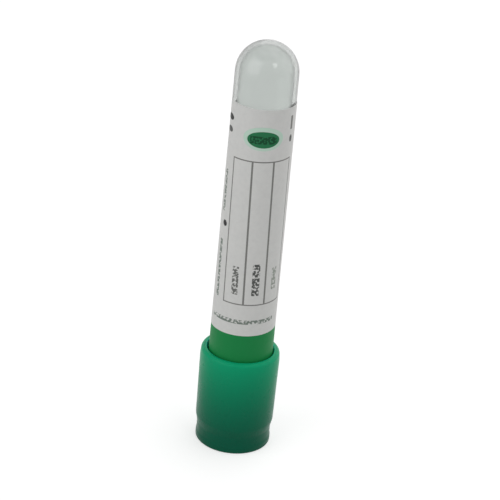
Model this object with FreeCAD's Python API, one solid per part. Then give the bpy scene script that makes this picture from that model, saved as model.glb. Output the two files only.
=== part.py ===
"""Blood collection tube, standing upside down on its closure.

Three mouldings and a label: a clear plastic tube with a round closed end, a rubber stopper, the safety cap
that holds the stopper and shields the tube's mouth, and a label round the front half of the tube.

Frame: millimetres, +Z up. The origin is the centre of the cap's end face, which the part stands on, and
the tube's round end is at the top. The middle of the label faces -Y. Heights are above the cap's end face.
"""
import FreeCAD, Part
import math
import os

# ---- Driving dimensions -------------------------------------------------------------------------------

# Tube: the nominal 16 x 100 size. The wall is even, and both of its faces carry the mould's draft.
TUBE_LENGTH = 100.0
TUBE_DIAMETER = 16.0
TUBE_TAPER = 0.9
TUBE_WALL = 1.05
TUBE_RIM_ROUNDING = 0.3

# Label: a paper-thin sheet round half of the tube, its lower edge tucked into the cap's mouth.
LABEL_THICKNESS = 0.10
LABEL_GLUE = 0.02
LABEL_HEIGHT = 69.3
LABEL_CORNER_ROUNDING = 1.5
LABEL_TUCK = 3.4

# Cap, outside: a rim bead, a narrower neck, an S-shaped step, a drafted barrel and a shoulder that leans in.
CAP_LENGTH = 25.4
CAP_CLEARANCE = 0.34
CAP_SHOULDER_WIDTH = 1.56
CAP_SHOULDER_HEIGHT = 2.4
CAP_SHOULDER_LEAN = 0.2
CAP_SHOULDER_ROUNDING = 3.0
CAP_MOUTH_ROUNDING = 1.0
CAP_BARREL_DRAFT = 0.2
CAP_NECK_DEPTH = 0.45
CAP_NECK_HEIGHT = 4.4
CAP_NECK_BLEND_HEIGHT = 2.1
CAP_NECK_BLEND_ROUNDING = 1.8
CAP_RIM_BEAD = 0.13
CAP_RIM_BEAD_HEIGHT = 1.5
CAP_RIM_BEAD_SLOPE = 0.7
CAP_RIM_ROUNDING = 0.5

# Cap, inside: a lip in front of the stopper's flange, a bead behind it, and ribs that guide the tube.
CAP_WALL = 1.05
CAP_EDGE_ROUNDING = 0.3
CAP_LIP_HEIGHT = 1.0
CAP_LIP_REACH = 0.4
CAP_BEAD_GAP = 0.1
CAP_BEAD_LAND = 0.35
CAP_BEAD_SLOPE = 1.05
CAP_RIB_COUNT = 8
CAP_RIB_WIDTH = 0.9
CAP_RIB_START = 1.6

# Stopper, held end: a flange with an undercut for the cap's bead, and a well for the needle.
STOPPER_FACE_RECESS = 0.45
STOPPER_FACE_ROUNDING = 0.3
STOPPER_FLANGE_HEIGHT = 4.5
STOPPER_FLANGE_MARGIN = 0.36
STOPPER_SEAT_GAP = 0.03
STOPPER_UNDERCUT_DEPTH = 0.3
STOPPER_UNDERCUT_HEIGHT = 0.7
STOPPER_UNDERCUT_SLOPE = 0.4
STOPPER_WELL_DIAMETER = 6.8
STOPPER_WELL_DEPTH = 4.3
STOPPER_WELL_FLOOR_ROUNDING = 0.6

# Stopper, plug: sealing rings round it, a bevelled tip, and a hollow that leaves a membrane to pierce.
STOPPER_MEMBRANE = 3.3
STOPPER_PLUG_LENGTH = 8.5
STOPPER_PLUG_CLEARANCE = 0.04
STOPPER_RING_DEPTH = 0.24
STOPPER_RING_WIDTH = 1.5
STOPPER_RING_OFFSETS = (2.1, 5.2)
STOPPER_BEVEL_HEIGHT = 1.4
STOPPER_BEVEL_DEPTH = 0.7
STOPPER_TIP_WALL = 1.25
STOPPER_HOLLOW_SLOPE = 1.7
STOPPER_HOLLOW_ROUNDING = 1.0

# ---- Worked out from them -----------------------------------------------------------------------------

TUBE_MOUTH_HEIGHT = CAP_LIP_HEIGHT + STOPPER_FLANGE_HEIGHT
TUBE_MOUTH_RADIUS = TUBE_DIAMETER / 2
TUBE_DOME_RADIUS = (TUBE_DIAMETER - TUBE_TAPER) / 2
TUBE_DOME_HEIGHT = TUBE_MOUTH_HEIGHT + TUBE_LENGTH - TUBE_DOME_RADIUS

LABEL_BOTTOM = CAP_LENGTH - LABEL_TUCK

CAP_MOUTH_RADIUS = TUBE_MOUTH_RADIUS + CAP_CLEARANCE
CAP_BARREL_RADIUS = CAP_MOUTH_RADIUS + CAP_SHOULDER_WIDTH
CAP_BORE_RADIUS = CAP_BARREL_RADIUS - CAP_WALL
CAP_NECK_RADIUS = CAP_BARREL_RADIUS - CAP_BARREL_DRAFT - CAP_NECK_DEPTH
CAP_SHOULDER_START = CAP_LENGTH - CAP_SHOULDER_HEIGHT

STOPPER_FLANGE_RADIUS = TUBE_MOUTH_RADIUS + STOPPER_FLANGE_MARGIN
STOPPER_FACE_RADIUS = STOPPER_FLANGE_RADIUS - CAP_LIP_REACH
STOPPER_UNDERCUT_RADIUS = STOPPER_FLANGE_RADIUS - STOPPER_UNDERCUT_DEPTH
STOPPER_UNDERCUT_START = TUBE_MOUTH_HEIGHT - STOPPER_UNDERCUT_HEIGHT

ORIGIN = FreeCAD.Vector(0, 0, 0)
UP = FreeCAD.Vector(0, 0, 1)


# ---- Outlines in the XZ plane, turned round Z ---------------------------------------------------------

def point(radius, height):
    """Point of an outline."""
    return FreeCAD.Vector(radius, 0, height)


def rounded_outline(corners):
    """Closed wire through (radius, height, rounding) corners, each rounded with a tangent arc."""
    points = [point(radius, height) for radius, height, _ in corners]
    edges = []
    starts = []
    ends = []
    for index, (_, _, rounding) in enumerate(corners):
        here = points[index]
        to_last = (points[index - 1] - here).normalize()
        to_next = (points[(index + 1) % len(points)] - here).normalize()
        half_angle = to_last.getAngle(to_next) / 2
        setback = rounding / math.tan(half_angle)
        arc_start = here + to_last * setback
        arc_end = here + to_next * setback
        starts.append(arc_start)
        ends.append(arc_end)
        if rounding > 0:
            inward = (to_last + to_next).normalize()
            arc_middle = here + inward * (rounding / math.sin(half_angle) - rounding)
            edges.append(Part.Arc(arc_start, arc_middle, arc_end).toShape())
    for index in range(len(points)):
        edges.append(Part.makeLine(ends[index - 1], starts[index]))
    return Part.Wire(Part.__sortEdges__(edges))


def turned(wire):
    """Solid made by turning a closed wire of the XZ plane round Z."""
    return Part.Face(wire).revolve(ORIGIN, UP, 360)


# ---- Tube ---------------------------------------------------------------------------------------------

def tube_radius(height):
    """Outer radius of the tube's drafted wall."""
    share = (height - TUBE_MOUTH_HEIGHT) / (TUBE_DOME_HEIGHT - TUBE_MOUTH_HEIGHT)
    return TUBE_MOUTH_RADIUS + share * (TUBE_DOME_RADIUS - TUBE_MOUTH_RADIUS)


def bore_radius(height):
    """Inner radius of the tube's drafted wall."""
    return tube_radius(height) - TUBE_WALL


def make_bullet(mouth_radius, dome_radius):
    """Solid rod with a drafted wall and a hemispherical end, standing on the tube's mouth."""
    centre = TUBE_DOME_HEIGHT
    half_way = dome_radius * math.sqrt(0.5)
    mouth_centre = point(0, TUBE_MOUTH_HEIGHT)
    mouth_edge = point(mouth_radius, TUBE_MOUTH_HEIGHT)
    dome_edge = point(dome_radius, centre)
    dome_top = point(0, centre + dome_radius)
    outline = [
        Part.makeLine(mouth_centre, mouth_edge),
        Part.makeLine(mouth_edge, dome_edge),
        Part.Arc(dome_edge, point(half_way, centre + half_way), dome_top).toShape(),
        Part.makeLine(dome_top, mouth_centre),
    ]
    return turned(Part.Wire(outline))


def make_tube():
    """Even wall with a closed round end, and a rounded rim at its mouth."""
    outside = make_bullet(TUBE_MOUTH_RADIUS, TUBE_DOME_RADIUS)
    inside = make_bullet(TUBE_MOUTH_RADIUS - TUBE_WALL, TUBE_DOME_RADIUS - TUBE_WALL)
    shell = outside.cut(inside)
    rim_top = TUBE_MOUTH_HEIGHT + TUBE_RIM_ROUNDING
    rim_edges = [edge for edge in shell.Edges if edge.BoundBox.ZMax < rim_top]
    return shell.makeFillet(TUBE_RIM_ROUNDING, rim_edges)


# ---- Stopper ------------------------------------------------------------------------------------------

def ring_corners(height):
    """Corners of one sealing ring of the plug, whose middle is at a height."""
    crest = bore_radius(height) - STOPPER_PLUG_CLEARANCE
    core = crest - STOPPER_RING_DEPTH
    return [
        (core, height - STOPPER_RING_WIDTH / 2, 0),
        (crest, height - STOPPER_RING_WIDTH / 4, 0),
        (crest, height + STOPPER_RING_WIDTH / 4, 0),
        (core, height + STOPPER_RING_WIDTH / 2, 0),
    ]


def make_stopper():
    """Flange with a needle well, a plug with sealing rings, and a hollow that thins the plug's middle."""
    face = STOPPER_FACE_RECESS
    seat = TUBE_MOUTH_HEIGHT
    tip = seat + STOPPER_PLUG_LENGTH
    well_radius = STOPPER_WELL_DIAMETER / 2
    well_floor = face + STOPPER_WELL_DEPTH
    hollow_roof = well_floor + STOPPER_MEMBRANE
    core_gap = STOPPER_PLUG_CLEARANCE + STOPPER_RING_DEPTH
    tip_radius = bore_radius(tip) - core_gap
    hollow_radius = tip_radius - STOPPER_BEVEL_DEPTH - STOPPER_TIP_WALL

    corners = [
        (0, well_floor, 0),
        (well_radius, well_floor, STOPPER_WELL_FLOOR_ROUNDING),
        (well_radius, face, STOPPER_FACE_ROUNDING),
        (STOPPER_FACE_RADIUS, face, 0),
        (STOPPER_FACE_RADIUS, CAP_LIP_HEIGHT, 0),
        (STOPPER_FLANGE_RADIUS, CAP_LIP_HEIGHT, 0),
        (STOPPER_FLANGE_RADIUS, STOPPER_UNDERCUT_START - STOPPER_UNDERCUT_SLOPE, 0),
        (STOPPER_UNDERCUT_RADIUS, STOPPER_UNDERCUT_START, 0),
        (STOPPER_UNDERCUT_RADIUS, seat, 0),
        (bore_radius(seat) - core_gap, seat, 0),
    ]
    for offset in STOPPER_RING_OFFSETS:
        corners += ring_corners(seat + offset)
    corners += [
        (tip_radius, tip - STOPPER_BEVEL_HEIGHT, STOPPER_HOLLOW_ROUNDING),
        (tip_radius - STOPPER_BEVEL_DEPTH, tip, 0),
        (hollow_radius, tip, STOPPER_FACE_ROUNDING),
        (hollow_radius - STOPPER_HOLLOW_SLOPE, hollow_roof, STOPPER_HOLLOW_ROUNDING),
        (0, hollow_roof, 0),
    ]
    return turned(rounded_outline(corners))


# ---- Cap ----------------------------------------------------------------------------------------------

def cap_outside():
    """Corners of the cap's outside, from the lip's edge to the mouth's edge."""
    barrel_start = CAP_NECK_HEIGHT + CAP_NECK_BLEND_HEIGHT
    return [
        (STOPPER_FACE_RADIUS + STOPPER_SEAT_GAP, 0, CAP_EDGE_ROUNDING),
        (CAP_NECK_RADIUS + CAP_RIM_BEAD, 0, CAP_RIM_ROUNDING),
        (CAP_NECK_RADIUS + CAP_RIM_BEAD, CAP_RIM_BEAD_HEIGHT, CAP_RIM_ROUNDING),
        (CAP_NECK_RADIUS, CAP_RIM_BEAD_HEIGHT + CAP_RIM_BEAD_SLOPE, CAP_RIM_ROUNDING),
        (CAP_NECK_RADIUS, CAP_NECK_HEIGHT, CAP_NECK_BLEND_ROUNDING),
        (CAP_BARREL_RADIUS - CAP_BARREL_DRAFT, barrel_start, CAP_NECK_BLEND_ROUNDING),
        (CAP_BARREL_RADIUS, CAP_SHOULDER_START, CAP_SHOULDER_ROUNDING),
        (CAP_BARREL_RADIUS - CAP_SHOULDER_LEAN, CAP_LENGTH, CAP_MOUTH_ROUNDING),
        (CAP_MOUTH_RADIUS, CAP_LENGTH, CAP_EDGE_ROUNDING),
    ]


def cap_inside():
    """Corners of the cap's inside, from the mouth down to the lip."""
    flange_radius = STOPPER_FLANGE_RADIUS + STOPPER_SEAT_GAP
    bead_radius = STOPPER_UNDERCUT_RADIUS + STOPPER_SEAT_GAP
    bead_start = STOPPER_UNDERCUT_START + CAP_BEAD_GAP
    bead_end = bead_start + CAP_BEAD_LAND
    mouth_slope = CAP_BORE_RADIUS - CAP_MOUTH_RADIUS
    return [
        (CAP_MOUTH_RADIUS, CAP_SHOULDER_START + mouth_slope, 0),
        (CAP_BORE_RADIUS, CAP_SHOULDER_START, 0),
        (CAP_BORE_RADIUS, bead_end + CAP_BEAD_SLOPE, 0),
        (bead_radius, bead_end, 0),
        (bead_radius, bead_start, 0),
        (flange_radius, bead_start - STOPPER_UNDERCUT_SLOPE, 0),
        (flange_radius, CAP_LIP_HEIGHT, 0),
        (STOPPER_FACE_RADIUS + STOPPER_SEAT_GAP, CAP_LIP_HEIGHT, 0),
    ]


def make_guide_ribs():
    """Upright ribs round the skirt's bore, level with its mouth, that centre the tube."""
    root = CAP_WALL / 2
    start = TUBE_MOUTH_HEIGHT + CAP_RIB_START
    rib = Part.makeBox(
        CAP_BORE_RADIUS - CAP_MOUTH_RADIUS + root,
        CAP_RIB_WIDTH,
        CAP_SHOULDER_START + root - start,
        FreeCAD.Vector(CAP_MOUTH_RADIUS, -CAP_RIB_WIDTH / 2, start),
    )
    ribs = []
    for index in range(CAP_RIB_COUNT):
        placed = rib.copy()
        placed.rotate(ORIGIN, UP, 360 * index / CAP_RIB_COUNT)
        ribs.append(placed)
    return ribs


def make_cap():
    """Safety shield: a lip and a bead hold the stopper's flange, and the skirt hides the tube's mouth."""
    shell = turned(rounded_outline(cap_outside() + cap_inside()))
    return shell.fuse(make_guide_ribs()).removeSplitter()


# ---- Label --------------------------------------------------------------------------------------------

def make_label():
    """Sleeve on the drafted wall, cut to its front half by a window with rounded rear corners."""
    top = LABEL_BOTTOM + LABEL_HEIGHT
    lower_radius = tube_radius(LABEL_BOTTOM) + LABEL_GLUE
    upper_radius = tube_radius(top) + LABEL_GLUE
    sleeve = turned(rounded_outline([
        (lower_radius, LABEL_BOTTOM, 0),
        (lower_radius + LABEL_THICKNESS, LABEL_BOTTOM, 0),
        (upper_radius + LABEL_THICKNESS, top, 0),
        (upper_radius, top, 0),
    ]))
    reach = TUBE_DIAMETER
    window = Part.makeBox(2 * reach, reach, LABEL_HEIGHT, FreeCAD.Vector(-reach, -reach, LABEL_BOTTOM))
    rear_edges = [
        edge
        for edge in window.Edges
        if edge.BoundBox.XLength > reach and edge.BoundBox.Center.y > -reach / 2
    ]
    return sleeve.common(window.makeFillet(LABEL_CORNER_ROUNDING, rear_edges))


# ---- Export -------------------------------------------------------------------------------------------

def main():
    """Build every sub-part and write one STEP file for each."""
    os.makedirs("parts", exist_ok=True)
    nodes = {
        "tube": make_tube(),
        "stopper": make_stopper(),
        "cap": make_cap(),
        "label": make_label(),
    }
    for name, shape in nodes.items():
        shape.exportStep("parts/" + name + ".step")
        print(name, shape.isValid(), len(shape.Solids), round(shape.Volume, 1))


main()
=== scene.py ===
"""Look of a blood collection tube that stands upside down on its closure.

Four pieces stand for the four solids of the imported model: a clear plastic tube with a round end, a rubber
stopper, the green safety cap round it and a printed label round the front half of the tube.

Sizes in the classes are millimetres, the same as the solids' own. Meshes are in metres in the model's axes:
the origin is the centre of the cap's end face, +Z runs up the tube to its round end, and the middle of the
label faces -Y. Heights are above the cap's end face. The studio's places and sizes are in metres.
"""
import logging
import math
from dataclasses import dataclass, field
from enum import Enum

import bmesh
import bpy
import numpy as np
from mathutils import Euler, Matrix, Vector


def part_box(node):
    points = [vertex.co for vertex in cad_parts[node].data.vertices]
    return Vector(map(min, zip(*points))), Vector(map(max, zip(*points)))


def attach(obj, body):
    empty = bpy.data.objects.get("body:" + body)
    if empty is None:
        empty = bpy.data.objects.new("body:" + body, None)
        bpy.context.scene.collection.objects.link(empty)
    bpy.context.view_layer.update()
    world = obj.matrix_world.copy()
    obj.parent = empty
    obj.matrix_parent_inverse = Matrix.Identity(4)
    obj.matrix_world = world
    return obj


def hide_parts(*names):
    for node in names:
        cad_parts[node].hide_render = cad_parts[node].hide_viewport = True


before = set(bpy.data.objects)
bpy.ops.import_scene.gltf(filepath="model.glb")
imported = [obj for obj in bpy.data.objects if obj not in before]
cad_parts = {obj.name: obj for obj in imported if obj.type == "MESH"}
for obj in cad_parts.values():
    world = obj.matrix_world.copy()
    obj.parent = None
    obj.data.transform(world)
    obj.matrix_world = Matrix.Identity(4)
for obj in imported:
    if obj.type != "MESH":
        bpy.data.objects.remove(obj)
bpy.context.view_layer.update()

LOG = logging.getLogger("collection_tube")
MM = 0.001

Socket = bpy.types.NodeSocket
Value = float | Socket
Pair = tuple[float, float]
Triple = tuple[float, float, float]
Colour = Triple
Inputs = dict[str | int, object]


# ---- Surfaces -----------------------------------------------------------------------------------------

@dataclass(frozen=True)
class Corner:
    """A corner of an outline turned round Z, and the radius of the arc that rounds it."""

    radius: float
    height: float
    rounding: float = 0.0


ARC_STEP = math.radians(9)
TURN_STEPS = 144
SHARP_ANGLE = math.radians(32)
MERGE_DISTANCE = 1e-7


def arc(centre: np.ndarray, start: np.ndarray, turn: float) -> np.ndarray:
    """Points of an arc: the start turned round the centre by even shares of the whole turn.

    Args:
        centre: Centre as (radius, height).
        start: First point as (radius, height).
        turn: Signed angle of the arc.

    Returns:
        Points as an (n, 2) array, both ends included.
    """
    steps = max(2, math.ceil(abs(turn) / ARC_STEP) + 1)
    angles = np.linspace(0, turn, steps)
    spoke = start - centre
    across = np.array([-spoke[1], spoke[0]])
    return centre + np.outer(np.cos(angles), spoke) + np.outer(np.sin(angles), across)


def rounded_corner(before: np.ndarray, here: np.ndarray, after: np.ndarray, rounding: float) -> np.ndarray:
    """Arc that rounds one corner, tangent to both sides.

    With h half of the angle between the sides, the arc begins rounding / tan(h) before the corner, its
    centre is rounding / sin(h) away on the bisector, and it turns through 180 degrees less 2 h.

    Args:
        before: The corner before this one.
        here: The corner to round.
        after: The corner after this one.
        rounding: Radius of the arc, or 0 for a sharp corner.

    Returns:
        The points that take the corner's place.
    """
    if rounding == 0:
        return here[None]
    to_last = (before - here) / np.linalg.norm(before - here)
    to_next = (after - here) / np.linalg.norm(after - here)
    half = math.acos(float(np.clip(to_last @ to_next, -1, 1))) / 2
    bisector = (to_last + to_next) / np.linalg.norm(to_last + to_next)
    centre = here + bisector * rounding / math.sin(half)
    side = math.copysign(1.0, to_last[0] * to_next[1] - to_last[1] * to_next[0])
    return arc(centre, here + to_last * rounding / math.tan(half), -side * (math.pi - 2 * half))


def rounded_outline(corners: list[Corner]) -> np.ndarray:
    """Points of a closed outline whose corners are rounded.

    Args:
        corners: The corners in order.

    Returns:
        Points as an (n, 2) array of radius and height.
    """
    places = np.array([(corner.radius, corner.height) for corner in corners])
    parts = [
        rounded_corner(places[index - 1], places[index], places[(index + 1) % len(places)], corner.rounding)
        for index, corner in enumerate(corners)
    ]
    return np.concatenate(parts)


def grid_faces(rows: int, columns: int, rows_wrap: bool, columns_wrap: bool) -> np.ndarray:
    """Quads of a grid of vertices that are numbered row by row.

    A vertex's number is its row times the number of columns, plus its column. A quad joins a vertex to the
    ones at its right and above it, and the first row or column follows the last where they wrap.

    Args:
        rows: Number of rows.
        columns: Number of columns.
        rows_wrap: True if the last row joins the first.
        columns_wrap: True if the last column joins the first.

    Returns:
        Vertex numbers as an (n, 4) array.
    """
    row = np.arange(rows if rows_wrap else rows - 1)[:, None]
    column = np.arange(columns if columns_wrap else columns - 1)[None]
    below, above = row * columns, (row + 1) % rows * columns
    left, right = column, (column + 1) % columns
    return np.stack([below + left, below + right, above + right, above + left], axis=-1).reshape(-1, 4)


def turned_grid(outline: np.ndarray, angles: np.ndarray) -> np.ndarray:
    """Grid of points of an outline turned round Z: x is radius times cosine, y is radius times sine.

    Args:
        outline: Points of radius and height, or radii that differ by column as an (n, m, 2) array.
        angles: The angle of each column.

    Returns:
        Points as an (n, m, 3) array.
    """
    profile = outline if outline.ndim == 3 else np.repeat(outline[:, None], len(angles), axis=1)
    radius, height = profile[..., 0], profile[..., 1]
    return np.stack([radius * np.cos(angles), radius * np.sin(angles), height], axis=-1)


def full_turn() -> np.ndarray:
    """Even angles once round."""
    return np.linspace(0, math.tau, TURN_STEPS, endpoint=False)


def make_piece(name: str, points: np.ndarray, faces: np.ndarray) -> bpy.types.Object:
    """Makes a closed, smooth piece whose creases stay sharp.

    Args:
        name: The piece's name.
        points: Vertices in millimetres, of any leading shape.
        faces: Vertex numbers of its quads.

    Returns:
        The piece's object, at the origin.
    """
    mesh = bpy.data.meshes.new(name)
    mesh.from_pydata(points.reshape(-1, 3) * MM, [], faces.tolist())
    shape = bmesh.new()
    shape.from_mesh(mesh)
    bmesh.ops.remove_doubles(shape, verts=shape.verts, dist=MERGE_DISTANCE)
    bmesh.ops.recalc_face_normals(shape, faces=shape.faces)
    shape.to_mesh(mesh)
    shape.free()
    mesh.polygons.foreach_set("use_smooth", np.ones(len(mesh.polygons), dtype=bool))
    mesh.set_sharp_from_angle(angle=SHARP_ANGLE)
    piece = bpy.data.objects.new(name, mesh)
    bpy.context.scene.collection.objects.link(piece)
    return piece


# ---- Material nodes -----------------------------------------------------------------------------------

class NodeBoard:
    """The node tree of one material or world, and short ways to add to it."""

    def __init__(self, owner: bpy.types.Material | bpy.types.World) -> None:
        """Starts an empty tree.

        Args:
            owner: The material or world that the tree belongs to.
        """
        owner.use_nodes = True
        self.owner = owner
        self.tree = owner.node_tree
        self.tree.nodes.clear()

    @classmethod
    def of_material(cls, name: str) -> "NodeBoard":
        """The empty tree of a new material."""
        return cls(bpy.data.materials.new(name))

    def node(self, kind: str, inputs: Inputs | None = None, **settings: object) -> bpy.types.Node:
        """Adds a node.

        Args:
            kind: The node's type.
            inputs: Values or sockets for its inputs, by name or number.
            **settings: The node's own properties.

        Returns:
            The node.
        """
        node = self.tree.nodes.new(kind)
        for key, setting in settings.items():
            setattr(node, key, setting)
        for key, given in (inputs or {}).items():
            if isinstance(given, Socket):
                self.tree.links.new(given, node.inputs[key])
            else:
                node.inputs[key].default_value = given
        return node

    def math(self, operation: str, first: Value, second: Value = 0.0, third: Value = 0.0) -> Socket:
        """Result of a Math node."""
        return self.node("ShaderNodeMath", {0: first, 1: second, 2: third}, operation=operation).outputs[0]

    def vector(self, operation: str, first: object, second: object = (0, 0, 0)) -> bpy.types.Node:
        """A Vector Math node."""
        return self.node("ShaderNodeVectorMath", {0: first, 1: second}, operation=operation)

    def place(self) -> Socket:
        """The piece's own coordinates in metres."""
        return self.node("ShaderNodeTexCoord").outputs["Object"]

    def noise(self, vector: Socket, scale: float, detail: float = 2.0, stretch: Triple = (1, 1, 1)) -> Socket:
        """Smooth noise from 0 to 1.

        Args:
            vector: The coordinates that it reads.
            scale: Cells in one unit of the coordinates.
            detail: How many finer noises are added.
            stretch: Factors on the coordinates, so that a smaller one draws the cells out along that axis.

        Returns:
            The noise.
        """
        mapped = self.node("ShaderNodeMapping", {"Vector": vector, "Scale": stretch}).outputs[0]
        inputs = {"Vector": mapped, "Scale": scale, "Detail": detail}
        return self.node("ShaderNodeTexNoise", inputs).outputs["Fac"]

    def ramp(
        self, value: Socket, low: float, high: float, to_low: float = 0.0, to_high: float = 1.0
    ) -> Socket:
        """A value eased from one range to another, and held at its ends."""
        inputs = {"Value": value, "From Min": low, "From Max": high, "To Min": to_low, "To Max": to_high}
        return self.node("ShaderNodeMapRange", inputs, interpolation_type="SMOOTHSTEP").outputs[0]

    def mix(self, share: Value, first: object, second: object) -> Socket:
        """Mix of two colours: the first at a share of 0 and the second at 1."""
        inputs = {0: share, 6: opaque(first), 7: opaque(second)}
        return self.node("ShaderNodeMix", inputs, data_type="RGBA").outputs[2]

    def bump(self, height: Socket, depth: float, strength: float = 1.0) -> Socket:
        """Normal of a surface raised by height times depth, in metres."""
        inputs = {"Height": height, "Distance": depth, "Strength": strength}
        return self.node("ShaderNodeBump", inputs).outputs[0]

    def finish(self, inputs: Inputs, inside: dict[str, Socket] | None = None) -> bpy.types.Material:
        """Closes a material's tree.

        Args:
            inputs: Inputs of the Principled shader.
            inside: Other inputs of the material, such as its volume.

        Returns:
            The material.
        """
        shader = self.node("ShaderNodeBsdfPrincipled", inputs)
        self.node("ShaderNodeOutputMaterial", {"Surface": shader.outputs[0], **(inside or {})})
        return self.owner


def opaque(colour: object) -> object:
    """A colour with its alpha of 1, or a socket as it is."""
    return colour if isinstance(colour, Socket) else (*colour, 1.0)


# ---- Finishes -----------------------------------------------------------------------------------------

@dataclass(frozen=True)
class ClearPlastic:
    """Clear moulded plastic of the tube with faint flow lines along it. It is greyer than the plastic itself:
    part of the grey is the plastic's slight tint, and part is painted shade for a dim surround seen through
    it.

    Its tint goes from colour to a far darker grey as the surface turns away, over the range edge_turn of the
    Facing weight. That darker grey is a painted dark reflection at the rims. Its body takes up a little light
    on the way through, which adds to the painted grey.
    """

    # Grey tint: partly the plastic's own, partly painted shade for a dim surround.
    colour: Colour = (0.755, 0.78, 0.765)
    # Painted dark reflection at the rims, reached as the surface turns away.
    painted_rim_shade: Colour = (0.15, 0.155, 0.152)
    edge_turn: Pair = (0.46, 0.88)
    body: Colour = (0.70, 0.71, 0.70)
    density: float = 285.0
    refraction: float = 1.5
    roughness: Pair = (0.08, 0.16)
    flow_scale: float = 160.0
    flow_stretch: Triple = (1, 1, 0.12)
    flow_spread: Pair = (0.35, 0.7)
    flow_depth: float = 1.5e-5

    def material(self) -> bpy.types.Material:
        """Builds the material.

        Returns:
            The material.
        """
        board = NodeBoard.of_material("tube_plastic")
        flow = board.noise(board.place(), self.flow_scale, detail=3.0, stretch=self.flow_stretch)
        inside = {"Color": opaque(self.body), "Density": self.density}
        absorb = board.node("ShaderNodeVolumeAbsorption", inside).outputs[0]
        turned = board.node("ShaderNodeLayerWeight").outputs["Facing"]
        surface = {
            # Base colour darkens at grazing angles: painted dark reflection at the rims.
            "Base Color": board.mix(board.ramp(turned, *self.edge_turn), self.colour, self.painted_rim_shade),
            "Transmission Weight": 1.0,
            "IOR": self.refraction,
            "Roughness": board.ramp(flow, *self.flow_spread, *self.roughness),
            "Normal": board.bump(flow, self.flow_depth),
        }
        return board.finish(surface, {"Volume": absorb})


@dataclass(frozen=True)
class CapPlastic:
    """Glossy green plastic whose light coming through is painted: it is darker towards the stopper end, which
    is painted shade where the rubber stopper behind the wall takes that light.

    The share of the free colour is the height over free_from, to the power fade. A much lighter colour comes
    in on the bore near the mouth, within bore_radius and above bore_height. It is painted light for light
    coming through the wall into the narrow gap by the tube.
    """

    # Painted shade: the colour where the rubber stopper backs the wall.
    painted_stopper_shade: Colour = (0.0015, 0.095, 0.052)
    free: Colour = (0.003, 0.355, 0.165)
    free_from: float = 25.0
    fade: float = 1.7
    # Painted light: the bright inner wall by the mouth.
    bore: Colour = (0.02, 0.72, 0.42)
    bore_radius: Pair = (8.45, 8.75)
    bore_height: Pair = (18.0, 22.0)
    mottle_scale: float = 350.0
    mottle_spread: Pair = (0.3, 0.7)
    mottle: float = 0.03
    roughness: Pair = (0.26, 0.36)
    gloss: float = 0.09
    sink_scale: float = 120.0
    sink_stretch: Triple = (1, 1, 0.35)
    sink_depth: float = 4e-5

    def material(self) -> bpy.types.Material:
        """Builds the material.

        Returns:
            The material.
        """
        board = NodeBoard.of_material("cap_plastic")
        place = board.place()
        height = board.node("ShaderNodeSeparateXYZ", {0: place}).outputs["Z"]
        rise = board.math("MAXIMUM", board.math("DIVIDE", height, self.free_from * MM), 0.0)
        # Darker towards the stopper end: painted shade of the stopper behind the wall.
        colour = board.mix(board.math("POWER", rise, self.fade), self.painted_stopper_shade, self.free)
        cloud = board.noise(place, self.mottle_scale, detail=3.0)
        shade = board.mix(board.math("MULTIPLY", cloud, self.mottle), colour, self.free)
        across = board.vector("MULTIPLY", place, (1 / MM, 1 / MM, 0)).outputs[0]
        inner = board.ramp(board.vector("LENGTH", across).outputs["Value"], *self.bore_radius, 1.0, 0.0)
        mouth = board.ramp(board.math("DIVIDE", height, MM), *self.bore_height)
        # Lighter bore near the mouth: painted light lifting the shade of the gap.
        shade = board.mix(board.math("MULTIPLY", inner, mouth), shade, self.bore)
        sink = board.noise(place, self.sink_scale, detail=1.0, stretch=self.sink_stretch)
        return board.finish({
            "Base Color": shade,
            "Roughness": board.ramp(cloud, *self.mottle_spread, *self.roughness),
            "Specular IOR Level": self.gloss,
            "Normal": board.bump(sink, self.sink_depth),
        })


@dataclass(frozen=True)
class StopperRubber:
    """Matt dark rubber with a fine moulded grain and dusty patches."""

    colour: Colour = (0.050, 0.046, 0.048)
    dusty: Colour = (0.095, 0.088, 0.090)
    dust_scale: float = 500.0
    dust_spread: Pair = (0.35, 0.75)
    rough_spread: Pair = (0.3, 0.7)
    roughness: Pair = (0.62, 0.78)
    gloss: float = 0.17
    grain_scale: float = 6000.0
    grain_depth: float = 2e-5

    def material(self) -> bpy.types.Material:
        """Builds the material.

        Returns:
            The material.
        """
        board = NodeBoard.of_material("stopper_rubber")
        place = board.place()
        dust = board.noise(place, self.dust_scale, detail=4.0)
        grain = board.noise(place, self.grain_scale)
        return board.finish({
            "Base Color": board.mix(board.ramp(dust, *self.dust_spread), self.colour, self.dusty),
            "Roughness": board.ramp(dust, *self.rough_spread, *self.roughness),
            "Specular IOR Level": self.gloss,
            "Normal": board.bump(grain, self.grain_depth),
        })


# ---- Tube ---------------------------------------------------------------------------------------------

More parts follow.
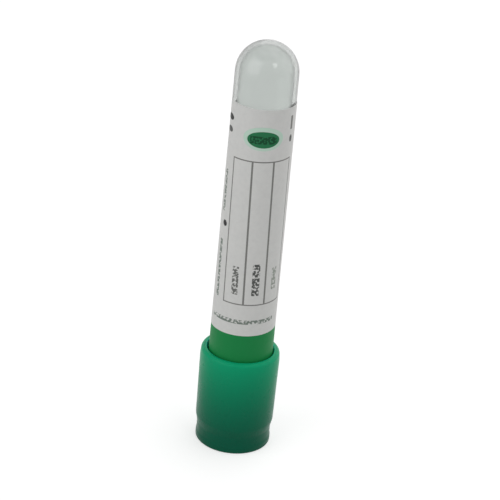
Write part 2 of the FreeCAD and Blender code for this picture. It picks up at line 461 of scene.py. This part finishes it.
@dataclass
class ClearTube:
    """The tube: a drafted wall with a hemispherical closed end and a rounded rim at its mouth."""

    mouth_radius: float = 8.0
    dome_radius: float = 7.55
    wall: float = 1.05
    rim_rounding: float = 0.3
    finish: ClearPlastic = field(default_factory=ClearPlastic)

    def __post_init__(self) -> None:
        """Takes the tube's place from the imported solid."""
        low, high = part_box("tube")
        self.mouth_height = low[2] / MM
        self.top = high[2] / MM
        self.dome_height = self.top - self.dome_radius

    def radius(self, height: np.ndarray | float) -> np.ndarray | float:
        """Outer radius of the wall, which narrows evenly from the mouth to the dome."""
        share = (height - self.mouth_height) / (self.dome_height - self.mouth_height)
        return self.mouth_radius + share * (self.dome_radius - self.mouth_radius)

    def outline(self) -> np.ndarray:
        """Half section from the dome's outer pole, round the rim, to its inner pole.

        Each dome is a quarter circle, and the rim has a small arc on both of its edges.

        Returns:
            Points as an (n, 2) array of radius and height.
        """
        centre = np.array([0.0, self.dome_height])
        inner_dome = self.dome_radius - self.wall
        inner_mouth = self.mouth_radius - self.wall
        foot = self.mouth_height
        rim = rounded_outline([
            Corner(self.dome_radius, self.dome_height),
            Corner(self.mouth_radius, foot, self.rim_rounding),
            Corner(inner_mouth, foot, self.rim_rounding),
            Corner(inner_dome, self.dome_height),
        ])
        outer = arc(centre, centre + (0, self.dome_radius), -math.pi / 2)
        inner = arc(centre, centre + (inner_dome, 0), math.pi / 2)
        return np.concatenate([outer[:-1], rim, inner[1:]])

    def build(self) -> bpy.types.Object:
        """Builds and dresses the tube.

        Returns:
            The piece.
        """
        points = turned_grid(self.outline(), full_turn())
        piece = make_piece("clear_tube", points, grid_faces(*points.shape[:2], False, True))
        piece.data.materials.append(self.finish.material())
        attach(piece, "tube_body")
        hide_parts("tube")
        return piece


# ---- Closure ------------------------------------------------------------------------------------------

@dataclass
class Closure:
    """The rubber stopper and the safety cap that holds it by its flange."""

    tube: ClearTube
    neck_depth: float = 0.45
    neck_height: float = 4.4
    neck_blend_height: float = 2.1
    neck_blend_rounding: float = 1.8
    rim_bead: float = 0.13
    rim_bead_height: float = 1.5
    rim_bead_slope: float = 0.7
    rim_rounding: float = 0.5
    edge_rounding: float = 0.3
    barrel_draft: float = 0.2
    clearance: float = 0.34
    shoulder_width: float = 1.56
    shoulder_height: float = 2.4
    shoulder_lean: float = 0.2
    shoulder_rounding: float = 3.0
    mouth_rounding: float = 1.0
    wall: float = 1.05
    lip_height: float = 1.0
    lip_reach: float = 0.4
    bead_gap: float = 0.1
    bead_land: float = 0.35
    bead_slope: float = 1.05
    rib_count: int = 8
    rib_width: float = 0.9
    rib_start: float = 1.6
    rib_flank: float = 1 / 6
    flange_margin: float = 0.36
    seat_gap: float = 0.03
    face_rounding: float = 0.3
    undercut_depth: float = 0.3
    undercut_height: float = 0.7
    undercut_slope: float = 0.4
    well_radius: float = 3.4
    well_depth: float = 4.3
    well_floor_rounding: float = 0.6
    membrane: float = 3.3
    plug_clearance: float = 0.04
    ring_depth: float = 0.24
    ring_width: float = 1.5
    ring_offsets: Pair = (2.1, 5.2)
    ring_rounding: float = 0.18
    bevel_height: float = 1.4
    bevel_depth: float = 0.7
    tip_wall: float = 1.25
    hollow_slope: float = 1.7
    hollow_rounding: float = 1.0
    cap_finish: CapPlastic = field(default_factory=CapPlastic)
    rubber: StopperRubber = field(default_factory=StopperRubber)

    def __post_init__(self) -> None:
        """Takes the closure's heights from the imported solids, and works out its radii."""
        self.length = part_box("cap")[1][2] / MM
        self.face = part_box("stopper")[0][2] / MM
        self.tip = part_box("stopper")[1][2] / MM
        self.seat = self.tube.mouth_height
        self.mouth_radius = self.tube.mouth_radius + self.clearance
        self.barrel_radius = self.mouth_radius + self.shoulder_width
        self.bore_radius = self.barrel_radius - self.wall
        self.neck_radius = self.barrel_radius - self.barrel_draft - self.neck_depth
        self.shoulder_start = self.length - self.shoulder_height
        self.flange_radius = self.tube.mouth_radius + self.flange_margin
        self.face_radius = self.flange_radius - self.lip_reach
        self.undercut_radius = self.flange_radius - self.undercut_depth
        self.undercut_start = self.seat - self.undercut_height

    def cap_outline(self) -> np.ndarray:
        """Section of the cap: rim bead, neck, step, drafted barrel, shoulder, then the bore and the lip.

        Returns:
            Points as an (n, 2) array of radius and height.
        """
        lip_radius = self.face_radius + self.seat_gap
        rim_radius = self.neck_radius + self.rim_bead
        bead_radius = self.undercut_radius + self.seat_gap
        bead_start = self.undercut_start + self.bead_gap
        bead_end = bead_start + self.bead_land
        flange_radius = self.flange_radius + self.seat_gap
        barrel_start = self.neck_height + self.neck_blend_height
        rib_start = self.seat + self.rib_start
        rib_slope = self.bore_radius - self.mouth_radius
        return rounded_outline([
            Corner(lip_radius, 0, self.edge_rounding),
            Corner(rim_radius, 0, self.rim_rounding),
            Corner(rim_radius, self.rim_bead_height, self.rim_rounding),
            Corner(self.neck_radius, self.rim_bead_height + self.rim_bead_slope, self.rim_rounding),
            Corner(self.neck_radius, self.neck_height, self.neck_blend_rounding),
            Corner(self.barrel_radius - self.barrel_draft, barrel_start, self.neck_blend_rounding),
            Corner(self.barrel_radius, self.shoulder_start, self.shoulder_rounding),
            Corner(self.barrel_radius - self.shoulder_lean, self.length, self.mouth_rounding),
            Corner(self.mouth_radius, self.length, self.edge_rounding),
            Corner(self.mouth_radius, self.shoulder_start + rib_slope),
            Corner(self.bore_radius, self.shoulder_start),
            Corner(self.bore_radius, rib_start + rib_slope / 2),
            Corner(self.bore_radius, rib_start),
            Corner(self.bore_radius, bead_end + self.bead_slope),
            Corner(bead_radius, bead_end),
            Corner(bead_radius, bead_start),
            Corner(flange_radius, bead_start - self.undercut_slope),
            Corner(flange_radius, self.lip_height),
            Corner(lip_radius, self.lip_height),
        ])

    def cap_columns(self) -> tuple[np.ndarray, np.ndarray]:
        """Angles of the cap's columns, with two more at each side of every rib.

        The two are the ends of the rib's flank, which is rib_flank of half of the rib's width.

        Returns:
            The angles in order, and which of them lie on a rib.
        """
        middles = np.arange(self.rib_count) * math.tau / self.rib_count
        half = self.rib_width / 2 / self.bore_radius
        slope = half * self.rib_flank
        edges = middles[:, None] + np.array([-half - slope, -half, half, half + slope])
        angles = np.unique(np.concatenate([full_turn(), edges.ravel() % math.tau]))
        gap = np.abs((angles[:, None] - middles + math.pi) % math.tau - math.pi).min(axis=1)
        return angles, gap < half + slope / 2

    def build_cap(self) -> bpy.types.Object:
        """Builds and dresses the cap. On a rib's columns the bore's radius is that of the mouth.

        Returns:
            The piece.
        """
        outline = self.cap_outline()
        angles, on_rib = self.cap_columns()
        profile = np.repeat(outline[:, None], len(angles), axis=1)
        start = self.seat + self.rib_start
        on_bore = np.isclose(outline[:, 0], self.bore_radius) & (outline[:, 1] > start)
        profile[np.ix_(on_bore, on_rib, [0])] = self.mouth_radius
        points = turned_grid(profile, angles)
        piece = make_piece("safety_cap", points, grid_faces(*points.shape[:2], True, True))
        piece.data.materials.append(self.cap_finish.material())
        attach(piece, "closure")
        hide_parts("cap")
        return piece

    def ring(self, height: float) -> list[Corner]:
        """Corners of one sealing ring of the plug.

        Args:
            height: Height of the ring's middle.

        Returns:
            The corners in order, from the mouth's side to the tip's.
        """
        crest = self.tube.radius(height) - self.tube.wall - self.plug_clearance
        core = crest - self.ring_depth
        return [
            Corner(core, height - self.ring_width / 2),
            Corner(crest, height - self.ring_width / 4, self.ring_rounding),
            Corner(crest, height + self.ring_width / 4, self.ring_rounding),
            Corner(core, height + self.ring_width / 2),
        ]

    def stopper_outline(self) -> np.ndarray:
        """Half section of the stopper from the well's floor, round the flange and plug, to the hollow.

        Returns:
            Points as an (n, 2) array of radius and height.
        """
        well_floor = self.face + self.well_depth
        hollow_roof = well_floor + self.membrane
        core_gap = self.tube.wall + self.plug_clearance + self.ring_depth
        tip_radius = self.tube.radius(self.tip) - core_gap
        hollow_radius = tip_radius - self.bevel_depth - self.tip_wall
        corners = [
            Corner(0, well_floor),
            Corner(self.well_radius, well_floor, self.well_floor_rounding),
            Corner(self.well_radius, self.face, self.face_rounding),
            Corner(self.face_radius, self.face, self.face_rounding / 2),
            Corner(self.face_radius, self.lip_height),
            Corner(self.flange_radius, self.lip_height),
            Corner(self.flange_radius, self.undercut_start - self.undercut_slope),
            Corner(self.undercut_radius, self.undercut_start),
            Corner(self.undercut_radius, self.seat),
            Corner(self.tube.radius(self.seat) - core_gap, self.seat),
        ]
        for offset in self.ring_offsets:
            corners += self.ring(self.seat + offset)
        corners += [
            Corner(tip_radius, self.tip - self.bevel_height, self.hollow_rounding),
            Corner(tip_radius - self.bevel_depth, self.tip, self.face_rounding),
            Corner(hollow_radius, self.tip, self.face_rounding),
            Corner(hollow_radius - self.hollow_slope, hollow_roof, self.hollow_rounding),
            Corner(0, hollow_roof),
        ]
        return rounded_outline(corners)

    def build_stopper(self) -> bpy.types.Object:
        """Builds and dresses the stopper.

        Returns:
            The piece.
        """
        points = turned_grid(self.stopper_outline(), full_turn())
        piece = make_piece("rubber_stopper", points, grid_faces(*points.shape[:2], False, True))
        piece.data.materials.append(self.rubber.material())
        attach(piece, "closure")
        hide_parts("stopper")
        return piece


# ---- Label --------------------------------------------------------------------------------------------

class Ink(Enum):
    """Inks of the label, each with its colour, in the order in which they are printed over each other."""

    BAND = (0.007, 0.225, 0.058)
    PALE = (0.56, 0.74, 0.63)
    OVAL = (0.020, 0.175, 0.070)
    DEEP = (0.004, 0.060, 0.022)
    FAINT = (0.34, 0.37, 0.33)
    LEGEND = (0.20, 0.24, 0.21)
    RULE = (0.22, 0.22, 0.21)
    WORDS = (0.16, 0.165, 0.155)
    GREY = (0.10, 0.105, 0.10)
    BLACK = (0.03, 0.03, 0.03)


class Form(Enum):
    """Forms of a printed mark."""

    BOX = "box"
    OVAL = "oval"
    WORD = "box of broken strokes"


@dataclass(frozen=True)
class Mark:
    """One printed mark.

    Across is measured round the label from its middle, and height above the cap's end face.
    """

    form: Form
    ink: Ink
    across: float
    height: float
    width: float
    tall: float


@dataclass(frozen=True)
class LabelPaper:
    """Satin white label stock with fields of colour, ruled columns and unreadable blocks for words.

    The print is turned by skew on the sheet, as it is on a label that was put on a little askew.
    """

    marks: tuple[Mark, ...]
    half_width: float
    bottom: float
    tall: float
    paper: Colour = (0.72, 0.722, 0.705)
    fibre: Colour = (0.69, 0.692, 0.677)
    fibre_scale: float = 900.0
    fibre_spread: Pair = (0.35, 0.75)
    rough_spread: Pair = (0.3, 0.7)
    roughness: Pair = (0.46, 0.54)
    gloss: float = 0.17
    grain_scale: float = 5000.0
    grain_depth: float = 6e-6
    glued: Colour = (0.93, 0.93, 0.915)
    glued_fibre: Colour = (0.90, 0.90, 0.885)
    glued_spread: Pair = (0.3, 0.8)
    glued_roughness: float = 0.7
    skew: float = math.radians(1.4)
    stroke_scale: float = 1.6
    stroke_spread: Pair = (0.40, 0.52)
    uv_name: str = "print"

    def mask(self, board: NodeBoard, spot: Socket, mark: Mark) -> Socket:
        """Where a mark is printed.

        The spot less the mark's middle, divided by the mark's half size, is within 1 on both axes in a
        box and within a length of 1 in an oval. A word is a box of which only the high parts of a noise
        are printed, so it reads as strokes from afar and as nothing from near.

        Args:
            board: The material's nodes.
            spot: Place on the label in millimetres.
            mark: The mark.

        Returns:
            1 inside the mark and 0 outside.
        """
        offset = board.vector("SUBTRACT", spot, (mark.across, mark.height, 0)).outputs[0]
        share = board.vector("DIVIDE", offset, (mark.width / 2, mark.tall / 2, 1)).outputs[0]
        if mark.form is Form.OVAL:
            return board.math("LESS_THAN", board.vector("LENGTH", share).outputs["Value"], 1.0)
        sides = board.node("ShaderNodeSeparateXYZ", {0: board.vector("ABSOLUTE", share).outputs[0]})
        box = board.math("LESS_THAN", board.math("MAXIMUM", sides.outputs[0], sides.outputs[1]), 1.0)
        if mark.form is Form.BOX:
            return box
        strokes = board.ramp(board.noise(spot, self.stroke_scale, detail=1.0), *self.stroke_spread)
        return board.math("MULTIPLY", box, strokes)

    def spot(self, board: NodeBoard) -> Socket:
        """Place on the print in millimetres: across from the label's middle, and up from the cap's face.

        The label's own map runs from 0 to 1 both ways. It is scaled to the flat sheet, moved to its middle
        and its height, and turned back by the skew about the middle of the sheet.

        Args:
            board: The material's nodes.

        Returns:
            The place.
        """
        uv = board.node("ShaderNodeUVMap", uv_map=self.uv_name).outputs[0]
        scaled = board.vector("MULTIPLY", uv, (2 * self.half_width, self.tall, 0)).outputs[0]
        flat = board.vector("ADD", scaled, (-self.half_width, self.bottom, 0)).outputs[0]
        middle = (0, self.bottom + self.tall / 2, 0)
        turn = {"Vector": flat, "Center": middle, "Angle": -self.skew}
        return board.node("ShaderNodeVectorRotate", turn).outputs[0]

    def printed(self) -> bpy.types.Material:
        """Builds the material of the label's outer face, one ink over the other.

        Returns:
            The material.
        """
        board = NodeBoard.of_material("label_print")
        spot = self.spot(board)
        place = board.place()
        cloud = board.noise(place, self.fibre_scale, detail=4.0)
        grain = board.noise(place, self.grain_scale)
        colour = board.mix(board.ramp(cloud, *self.fibre_spread), self.paper, self.fibre)
        for ink in Ink:
            masks = [self.mask(board, spot, mark) for mark in self.marks if mark.ink is ink]
            cover = masks[0]
            for mask in masks[1:]:
                cover = board.math("MAXIMUM", cover, mask)
            colour = board.mix(cover, colour, ink.value)
        return board.finish({
            "Base Color": colour,
            "Roughness": board.ramp(cloud, *self.rough_spread, *self.roughness),
            "Specular IOR Level": self.gloss,
            "Normal": board.bump(grain, self.grain_depth),
        })

    def back(self) -> bpy.types.Material:
        """Builds the material of the label's glued face and edges, plain paper.

        Returns:
            The material.
        """
        board = NodeBoard.of_material("label_back")
        cloud = board.noise(board.place(), self.fibre_scale, detail=4.0)
        return board.finish({
            "Base Color": board.mix(board.ramp(cloud, *self.glued_spread), self.glued, self.glued_fibre),
            "Roughness": self.glued_roughness,
            "Normal": board.bump(cloud, self.grain_depth),
        })


@dataclass
class WrapLabel:
    """The label: a thin sheet glued round the front half of the tube, with rounded corners."""

    tube: ClearTube
    glue: float = 0.02
    thickness: float = 0.10
    corner: float = 1.5
    columns: int = 121
    rows: int = 61
    band_top: float = 32.6
    band_tall: float = 30.0
    ruled_across: Pair = (-7.5, 7.9)
    ruled_heights: Pair = (41.0, 78.3)
    ruled_columns: int = 3
    line: float = 0.3
    heavy_line: float = 0.45

    def __post_init__(self) -> None:
        """Takes the label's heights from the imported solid."""
        low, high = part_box("label")
        self.bottom = low[2] / MM
        self.top = high[2] / MM
        middle = (self.bottom + self.top) / 2
        self.half_width = math.pi / 2 * self.tube.radius(middle)

    def fields(self) -> list[Mark]:
        """The green band at the closure's end, and the oval with its pale rim and a word's block in it.

        The band is wider than the sheet, so that it reaches both of its sides in spite of the skew.

        Returns:
            The marks.
        """
        middle = self.band_top - self.band_tall / 2
        return [
            Mark(Form.BOX, Ink.BAND, 0, middle, 4 * self.half_width, self.band_tall),
            Mark(Form.OVAL, Ink.PALE, -0.2, 84.1, 9.9, 5.9),
            Mark(Form.OVAL, Ink.OVAL, -0.2, 83.9, 7.8, 4.1),
            Mark(Form.WORD, Ink.DEEP, -0.2, 83.8, 6.4, 1.9),
        ]

    def ruled(self) -> list[Mark]:
        """The frame of lines for handwriting, with a word's block at the foot of each column.

        The lines between the columns are heavier than the frame's own.

        Returns:
            The marks.
        """
        left, right = self.ruled_across
        low, high = self.ruled_heights
        wide, tall = right - left, high - low
        column = wide / self.ruled_columns
        marks = [
            Mark(Form.WORD, Ink.WORDS, left + column * 0.55, 47.2, 1.6, 7.4),
            Mark(Form.WORD, Ink.GREY, left + column * 1.52, 47.7, 1.8, 8.4),
            Mark(Form.WORD, Ink.FAINT, left + column * 2.5, 47.4, 1.5, 6.0),
        ]
        for index in range(self.ruled_columns + 1):
            width = self.heavy_line if 0 < index < self.ruled_columns else self.line
            marks.append(Mark(Form.BOX, Ink.RULE, left + column * index, low + tall / 2, width, tall))
        for height in (low, high):
            marks.append(Mark(Form.BOX, Ink.RULE, left + wide / 2, height, wide + self.line, self.line))
        return marks

    def small_print(self) -> list[Mark]:
        """The fine print and dots along the left side, the bar and dot at the right, and the legend.

        Returns:
            The marks.
        """
        return [
            Mark(Form.WORD, Ink.LEGEND, -10.0, 48.9, 1.0, 15.0),
            Mark(Form.WORD, Ink.LEGEND, -10.1, 69.0, 1.0, 10.6),
            Mark(Form.OVAL, Ink.BLACK, -9.1, 60.8, 1.5, 1.6),
            Mark(Form.OVAL, Ink.BLACK, -10.2, 87.5, 2.8, 1.6),
            Mark(Form.OVAL, Ink.GREY, -10.1, 84.5, 2.4, 1.5),
            Mark(Form.BOX, Ink.RULE, 7.6, 87.3, 0.8, 3.4),
            Mark(Form.OVAL, Ink.GREY, 7.6, 83.3, 1.1, 1.8),
            Mark(Form.WORD, Ink.LEGEND, -2.5, 36.3, 17.0, 1.1),
        ]

    def grid(self, lift: float) -> tuple[np.ndarray, np.ndarray]:
        """One face of the sheet, and its place from 0 to 1 along both ways.

        A column's angle runs from the left side to the right. Within the corner radius c of a side, at
        a distance d from it, both ends of the column draw in by c less the root of c squared less
        (c - d) squared, which is a quarter circle. The radius is the tube's at that height plus lift.

        Args:
            lift: How far the face is from the tube.

        Returns:
            Points as a (columns, rows, 3) array and places as a (columns, rows, 2) array.
        """
        spread = np.linspace(0, math.pi, self.columns)
        across = (1 - np.cos(spread)) / 2
        distance = np.minimum(across, 1 - across) * 2 * self.half_width
        short = np.clip(self.corner - distance, 0, self.corner)
        inset = self.corner - np.sqrt(self.corner**2 - short**2)
        up = np.linspace(0, 1, self.rows)[None]
        height = (self.bottom + inset)[:, None] * (1 - up) + (self.top - inset)[:, None] * up
        angle = (math.pi + across * math.pi)[:, None]
        radius = self.tube.radius(height) + lift
        points = np.stack([radius * np.cos(angle), radius * np.sin(angle), height], axis=-1)
        share = (height - self.bottom) / (self.top - self.bottom)
        places = np.stack([np.broadcast_to(across[:, None], height.shape), share], axis=-1)
        return points, places

    def edge_faces(self) -> np.ndarray:
        """Quads that close the sheet's four edges, from the outer face's border to the inner's.

        The border is walked once round, and each of its vertices is joined to the next one and to the
        vertex of the same place on the inner face.

        Returns:
            Vertex numbers as an (n, 4) array.
        """
        numbers = np.arange(self.columns * self.rows).reshape(self.columns, self.rows)
        border = np.concatenate([numbers[:-1, 0], numbers[-1, :-1], numbers[:0:-1, -1], numbers[0, :0:-1]])
        ahead = np.roll(border, -1)
        inner = self.columns * self.rows
        return np.stack([border, ahead, ahead + inner, border + inner], axis=-1)

    def build(self) -> bpy.types.Object:
        """Builds the sheet, gives it its map and dresses it.

        Returns:
            The piece.
        """
        outer, places = self.grid(self.glue + self.thickness)
        inner, _ = self.grid(self.glue)
        face = grid_faces(self.columns, self.rows, False, False)
        faces = np.concatenate([face, face[:, ::-1] + self.columns * self.rows, self.edge_faces()])
        piece = make_piece("wrap_label", np.stack([outer, inner]), faces)
        mesh = piece.data
        numbers = np.zeros(len(mesh.loops), dtype=np.int32)
        mesh.loops.foreach_get("vertex_index", numbers)
        layer = mesh.uv_layers.new(name=LabelPaper.uv_name)
        layer.data.foreach_set("uv", np.tile(places.reshape(-1, 2), (2, 1))[numbers].ravel())
        marks = (*self.fields(), *self.ruled(), *self.small_print())
        paper = LabelPaper(marks, self.half_width, self.bottom, self.top - self.bottom)
        mesh.materials.append(paper.printed())
        mesh.materials.append(paper.back())
        slots = np.ones(len(mesh.polygons), dtype=np.int32)
        slots[:len(face)] = 0
        mesh.polygons.foreach_set("material_index", slots)
        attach(piece, "tube_body")
        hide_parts("label")
        return piece


# ---- Studio -------------------------------------------------------------------------------------------

@dataclass(frozen=True)
class Lamp:
    """A soft square lamp that looks at the middle of the tube.

    Its place and size are in metres. It can be hidden from rays that have gone through the clear plastic.
    """

    name: str
    place: Triple
    size: float
    power: float
    seen_through: bool = True


@dataclass
class Studio:
    """Plain pale floor, soft light and the camera.

    The floor glows by floor_glow where it is seen as background, and by far_glow more, to the camera only,
    from the distances of far_ring outwards.
    """

    aim_height: float = 0.0520
    camera_place: Triple = (-0.0861, -0.4232, 0.2554)
    roll_degrees: float = 5.5
    lens: float = 142.0
    clip_start: float = 0.01
    floor_size: float = 6.0
    floor_colour: Colour = (0.62, 0.62, 0.62)
    floor_roughness: float = 0.9
    floor_glow: float = 0.55
    far_glow: float = 0.25
    far_ring: Pair = (0.40, 0.95)
    ambient: float = 0.42
    lamps: tuple[Lamp, ...] = (
        Lamp("key_left", (-0.84, -0.37, 0.50), 1.0, 3.5),
        Lamp("rim_right", (0.80, 0.40, 0.50), 3.0, 15.0, seen_through=False),
        Lamp("top", (0.05, 0.30, 1.00), 1.0, 1.0),
        Lamp("glint", (0.27, -0.62, 0.69), 0.24, 0.45),
    )

    def white_share(self, board: NodeBoard) -> Socket:
        """Which rays see the background: those from the camera, off a gloss or through clear plastic.

        Args:
            board: The nodes of the floor or the world.

        Returns:
            1 for such a ray and 0 for the others.
        """
        path = board.node("ShaderNodeLightPath").outputs
        share = board.math("MAXIMUM", path["Is Camera Ray"], path["Is Glossy Ray"])
        return board.math("MAXIMUM", share, path["Is Transmission Ray"])

    def build_floor(self) -> None:
        """Builds the floor, which takes a shadow, glows as background and fades to white far from the object.

        The far glow is added for camera rays alone: glow is white share times floor_glow, plus the far share.
        """
        half = self.floor_size / 2
        corners = [(-half, -half, 0), (half, -half, 0), (half, half, 0), (-half, half, 0)]
        mesh = bpy.data.meshes.new("floor")
        mesh.from_pydata(corners, [], [(0, 1, 2, 3)])
        floor = bpy.data.objects.new("floor", mesh)
        bpy.context.scene.collection.objects.link(floor)
        board = NodeBoard.of_material("pale_floor")
        distance = board.vector("LENGTH", board.place()).outputs["Value"]
        far = board.ramp(distance, *self.far_ring, 0.0, self.far_glow)
        seen = board.node("ShaderNodeLightPath").outputs["Is Camera Ray"]
        glow = board.math("MULTIPLY", self.white_share(board), self.floor_glow)
        glow = board.math("MULTIPLY_ADD", far, seen, glow)
        mesh.materials.append(board.finish({
            "Base Color": opaque(self.floor_colour),
            "Roughness": self.floor_roughness,
            "Specular IOR Level": 0.0,
            "Emission Color": opaque((1, 1, 1)),
            "Emission Strength": glow,
        }))

    def build_world(self) -> None:
        """Lights the scene evenly from all round, with white behind the object."""
        world = bpy.data.worlds.new("studio")
        bpy.context.scene.world = world
        board = NodeBoard(world)
        strength = board.ramp(self.white_share(board), 0.0, 1.0, self.ambient, 1.0)
        background = board.node("ShaderNodeBackground", {"Color": opaque((1, 1, 1)), "Strength": strength})
        board.node("ShaderNodeOutputWorld", {"Surface": background.outputs[0]})

    def build_lamps(self) -> None:
        """Adds the lamps, each turned to the middle of the tube."""
        aim = Vector((0, 0, self.aim_height))
        for lamp in self.lamps:
            light = bpy.data.lights.new(lamp.name, "AREA")
            light.size = lamp.size
            light.energy = lamp.power
            holder = bpy.data.objects.new(lamp.name, light)
            holder.location = lamp.place
            holder.rotation_euler = (aim - holder.location).to_track_quat("-Z", "Y").to_euler()
            holder.visible_transmission = lamp.seen_through
            bpy.context.scene.collection.objects.link(holder)

    def build_camera(self) -> None:
        """Adds the camera, a little above the tube and rolled so that the tube leans to the right."""
        data = bpy.data.cameras.new("camera")
        data.lens = self.lens
        data.clip_start = self.clip_start
        camera = bpy.data.objects.new("camera", data)
        camera.location = self.camera_place
        look = (Vector((0, 0, self.aim_height)) - camera.location).to_track_quat("-Z", "Y")
        roll = Euler((0, 0, math.radians(self.roll_degrees))).to_quaternion()
        camera.rotation_euler = (look @ roll).to_euler()
        bpy.context.scene.collection.objects.link(camera)
        bpy.context.scene.camera = camera

    def build(self) -> None:
        """Builds the whole studio."""
        self.build_floor()
        self.build_world()
        self.build_lamps()
        self.build_camera()
        bpy.context.scene.view_settings.view_transform = "Standard"


# ---- The whole scene ----------------------------------------------------------------------------------


def main() -> None:
    """Builds every piece and the studio, and reports each piece."""
    logging.basicConfig(level=logging.INFO, format="%(message)s")
    tube = ClearTube()
    closure = Closure(tube)
    label = WrapLabel(tube)
    for piece in (tube.build(), closure.build_cap(), closure.build_stopper(), label.build()):
        LOG.info("%s: %d faces", piece.name, len(piece.data.polygons))
    Studio().build()


if __name__ == "__main__":
    main()
